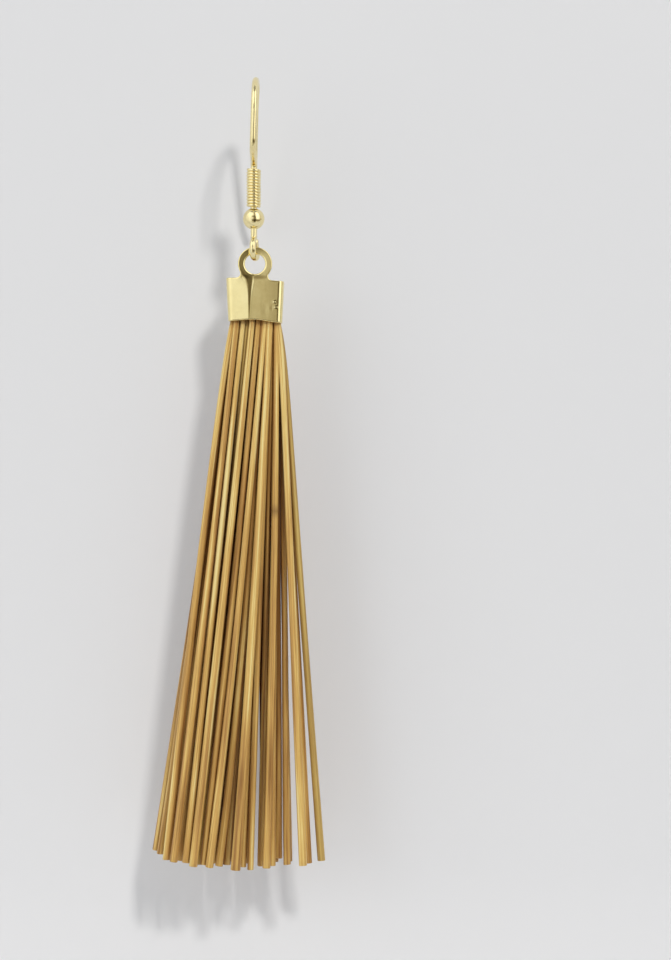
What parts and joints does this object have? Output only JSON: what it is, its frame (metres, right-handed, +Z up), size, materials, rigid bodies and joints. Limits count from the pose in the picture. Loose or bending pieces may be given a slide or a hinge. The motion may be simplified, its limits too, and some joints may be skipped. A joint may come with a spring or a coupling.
{
  "type": "dangle earring",
  "caption": "Drop earring: a wire fish hook with a wound sleeve, a bead and an eye, and a folded metal cap that swings on the eye and holds a fanned tassel of stiff straw.",
  "frame": {"origin": "underside of the hook's crown, straight above the shank, where the earring hangs", "axes": "+Z up along the hanging earring, -Y towards the viewer, where the hook bows forward, +X to the viewer's right"},
  "size_m": [0.018, 0.0119, 0.0826],
  "materials": {
    "gold_wire": "polished gold plate on drawn wire",
    "gold_sheet": "mirror polished gold plate on folded sheet",
    "straw": "dry golden straw with a natural satin sheen"
  },
  "bodies": {
    "ear_wire": {"ear_hook": "gold_wire", "hook_coil": "gold_wire", "hook_bead": "gold_wire"},
    "drop": {"tassel_cap": "gold_sheet", "grass_tassel": "straw"}
  },
  "joints": [
    {"name": "drop_swing", "type": "hinge", "parent": "ear_wire", "child": "drop", "pos_m": [0, 0, -0.01821], "axis": [0, 1, 0], "range_deg": [-60, 60]}
  ]
}
